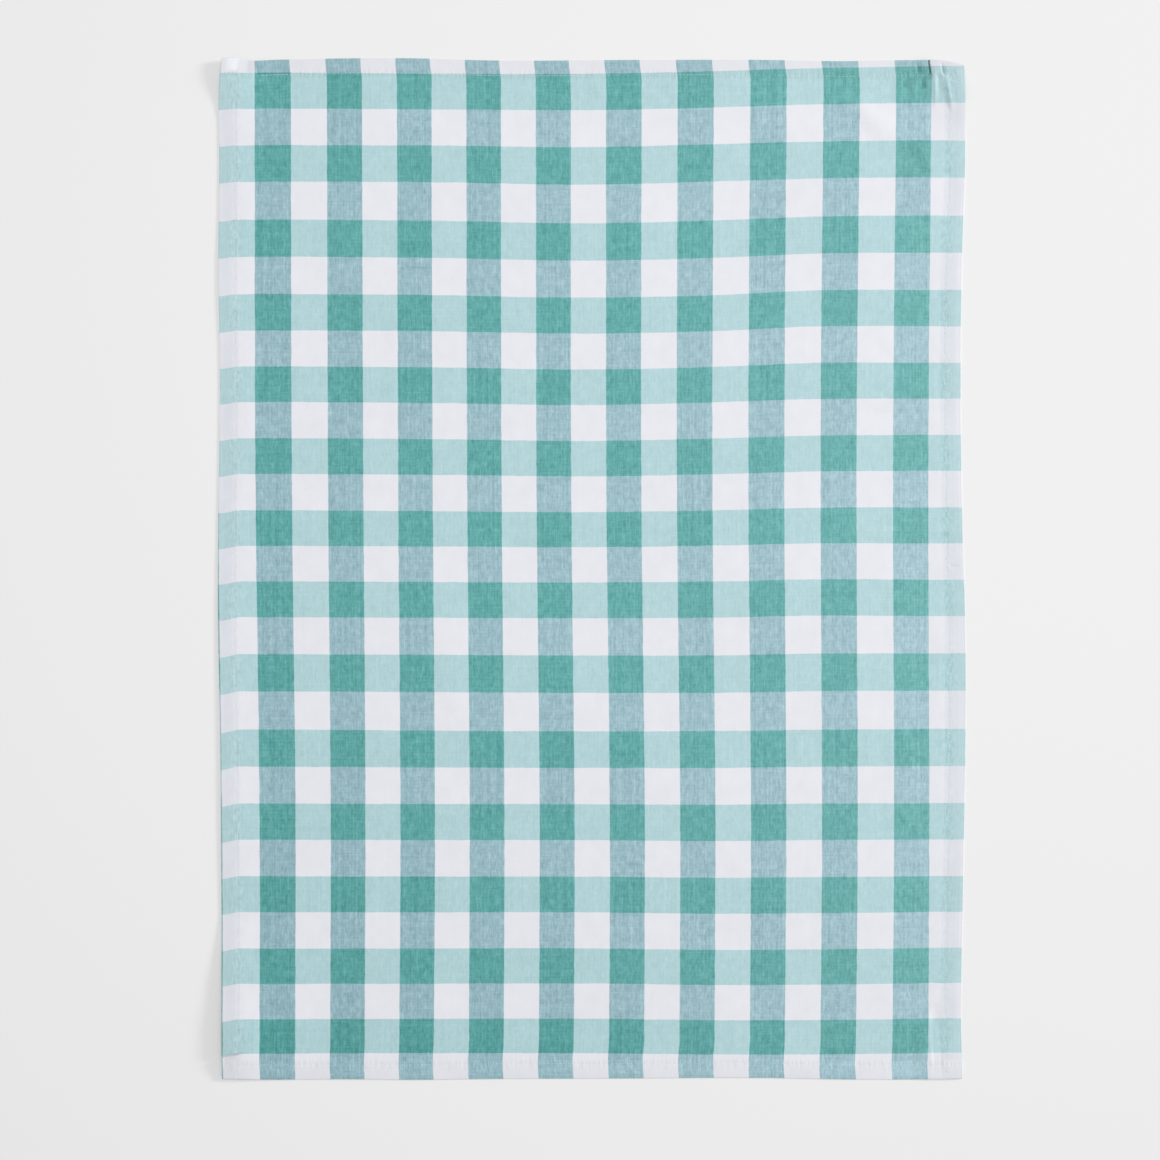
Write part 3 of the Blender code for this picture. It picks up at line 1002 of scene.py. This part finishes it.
def seam_rows(on_end, high, random):
    """The two rows of a seam, on the face and on the back. It is on a long side or on an end,
    and on the low or the high one of the two."""
    hem = (SIDE_HEMS, END_HEMS)[on_end][high]
    half, side = (WIDTH / 2, LENGTH / 2)[on_end], (-1, 1)[high]
    ways = (cloth.columns, cloth.rows)
    on_seam = [s == side and abs(line.at - half + hem.seam_in) < 1e-7 for s, line in ways[on_end]]
    seam = on_seam.index(True)
    front = [k for k, (_, line) in enumerate(ways[1 - on_end]) if line.part == "front"]
    crossings = (seam, front) if on_end else (front, seam)
    face = cloth.middle + cloth.facing * cloth.half_layer[..., None]
    places = cloth.straight[crossings][:, 1 - on_end]
    beside = np.full(places.shape, side * (half - hem.seam_in))
    x, y = (places, beside) if on_end else (beside, places)
    back = np.stack([*to_outline(x, y), soft_rise(x, y)], -1)
    aside = ((1, 0, 0), (0, -1, 0))[on_end]
    sunk = SUNK_ENDS[high] if on_end else SUNK_SIDES
    yield thread_rings(places, face[crossings], aside, 1, sunk, random)
    yield thread_rings(places, back, aside, -1, 0, random)


def stitching_mesh(name):
    """All eight rows, and their two UV maps: metres along the thread, and a baked picture."""
    random = np.random.default_rng(5)
    threads = []
    for high, on_end in ((0, 0), (0, 1), (1, 0), (1, 1)):
        threads += seam_rows(on_end, high, random)

    points, faces, thread_map, bake_map = [], [], [], []
    bends, sides = len(BENDS), THREAD_SIDES
    cells = sum(math.ceil(len(along) / bends) + 2 for _, along in threads)
    cells_across = math.ceil(math.sqrt(cells / CELL_SHAPE))
    cells_up = math.ceil(cells / cells_across)
    cell = 0
    base = 0

    def in_cell(cell, *place):
        u, v = (m + (1 - 2 * m) * at for m, at in zip(CELL_MARGINS, place))
        return (cell % cells_across + u) / cells_across, (cell // cells_across + v) / cells_up

    for rings, along in threads:
        points.append(rings.reshape(-1, 3))
        for k in range(len(along) - 1):
            stitch, bend = divmod(k, bends)
            for j in range(sides):
                here, there = base + k * sides, base + (k + 1) * sides
                after = (j + 1) % sides
                faces.append((here + j, there + j, there + after, here + after))
                low, high = j / sides, (j + 1) / sides
                first, second = along[k], along[k + 1]
                thread_map += [(first, low), (second, low), (second, high), (first, high)]
                left, right = bend / bends, (bend + 1) / bends
                corners = ((left, low), (right, low), (right, high), (left, high))
                bake_map += [in_cell(cell + stitch, *corner) for corner in corners]
        cell += math.ceil(len(along) / bends)
        for k, order in ((0, 1), (len(along) - 1, -1)):
            ring = list(range(sides))[::order]
            faces.append([base + k * sides + j for j in ring])
            thread_map += [(along[k], j / sides) for j in ring]
            for j in ring:
                angle = 2 * math.pi * j / sides
                at_u, at_v = ROUND_END * math.cos(angle), ROUND_END * math.sin(angle)
                bake_map.append(in_cell(cell, 0.5 + at_u, 0.5 + at_v))
            cell += 1
        base += len(along) * sides
    mesh = bpy.data.meshes.new(name)
    mesh.from_pydata(np.concatenate(points).tolist(), [], faces)
    mesh.shade_smooth()
    add_map(mesh, "thread", thread_map)
    add_map(mesh, "OFBake", bake_map)
    return mesh


sewing_cotton, shader, start = new_material("sewing_thread")
run, turn = start.mapped("thread")
twist = ((run / TWIST + turn) * (2 * math.pi)).math("SINE")
mottle = (run / 0.004).cloud(turn, seed=1.0)
pale = (0.5 + mottle).between(THREAD_DULL, THREAD_PALE)
pale = pale.scaled(0.96 + twist * 0.04)
start.tree.links.new(pale.socket, shader.inputs["Base Color"])
bump = start.node("ShaderNodeBump", None, {"Height": twist * 0.00002, "Distance": 1.0})
start.tree.links.new(bump.socket, shader.inputs["Normal"])
shader.inputs["Roughness"].default_value = 0.7
shader.inputs["Sheen Weight"].default_value = 0.1

hem_stitching = new_piece("hem_stitching", stitching_mesh("hem_stitching"), sewing_cotton)
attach(hem_stitching, "root")

# ----------------------------------------------------------
# The table top: a plain, pale, matt surface that runs on past the view. It is not part of
# the towel.
# ----------------------------------------------------------

TABLE_HALF = 30.0
TABLE_COLOUR = (0.845, 0.845, 0.845, 1)

table_corners = [(-1, -1), (1, -1), (1, 1), (-1, 1)]
table_points = [(x * TABLE_HALF, y * TABLE_HALF, 0) for x, y in table_corners]
table_mesh = bpy.data.meshes.new("table_top")
table_mesh.from_pydata(table_points, [], [(0, 1, 2, 3)])
table_paint, shader, _ = new_material("table_paint")
shader.inputs["Base Color"].default_value = TABLE_COLOUR
shader.inputs["Roughness"].default_value = 0.8
shader.inputs["Specular IOR Level"].default_value = 0.2
table_top = new_piece("table_top", table_mesh, table_paint)
table_top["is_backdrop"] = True

# ----------------------------------------------------------
# The light: even soft light from all round, a large soft lamp overhead, and a smaller one low
# on the right, slightly towards the top end, which brings out the folds and casts the shadow.
# ----------------------------------------------------------

AROUND = 0.42  # the strength of the even light


class Lamp(NamedTuple):
    """A round soft lamp: where it stands, what it points at, how wide it is, and its power."""

    place: tuple
    aim: tuple
    size: float
    power: float


def from_bearing(bearing, height, distance):
    """A place in metres, seen from the towel's middle: bearing in degrees from +X towards +Y."""
    bearing, height = math.radians(bearing), math.radians(height)
    flat = distance * math.cos(height)
    return flat * math.cos(bearing), flat * math.sin(bearing), distance * math.sin(height)


LOW_PLACE = from_bearing(bearing=15, height=15, distance=6.0)
LAMPS = {
    "lamp_overhead": Lamp(place=(0.0, 0.20, 2.6), aim=(0.0, 0.20, 0.0), size=1.6, power=31.9),
    "lamp_low": Lamp(place=LOW_PLACE, aim=(0.0, 0.0, 0.0), size=1.15, power=226.0),
}

studio = bpy.data.worlds.new("studio")
bpy.context.scene.world = studio
studio.use_nodes = True
background = studio.node_tree.nodes["Background"]
background.inputs["Color"].default_value = (1, 1, 1, 1)
background.inputs["Strength"].default_value = AROUND

for name, fit in LAMPS.items():
    lamp = bpy.data.lights.new(name, "AREA")
    lamp.shape = "DISK"
    lamp.size = fit.size
    lamp.energy = fit.power
    lamp_stand = bpy.data.objects.new(name, lamp)
    lamp_stand.location = fit.place
    towards_lamp = Vector(fit.place) - Vector(fit.aim)
    lamp_stand.rotation_euler = towards_lamp.to_track_quat("Z", "Y").to_euler()
    bpy.context.scene.collection.objects.link(lamp_stand)

# ----------------------------------------------------------
# The camera looks straight down, with the towel a little right of and above the middle.
# ----------------------------------------------------------

VIEW_WIDTH = 0.7870  # of the table, from side to side of the picture
VIEW_MIDDLE = (-0.00761, -0.00751)

camera = bpy.data.cameras.new("camera")
camera.lens = 85
camera.sensor_width = 36
camera.sensor_fit = "HORIZONTAL"
camera_stand = bpy.data.objects.new("camera", camera)
camera_stand.location = (*VIEW_MIDDLE, VIEW_WIDTH * camera.lens / camera.sensor_width)
bpy.context.scene.collection.objects.link(camera_stand)
bpy.context.scene.camera = camera_stand
bpy.context.scene.view_settings.view_transform = "Standard"

# ----------------------------------------------------------
# The boxes that the imported parts and the pieces drawn here take up.
# ----------------------------------------------------------

boxes = {"cad": cad_box, "visual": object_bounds()}
{name: [list(corner) for corner in box] for name, box in boxes.items()}
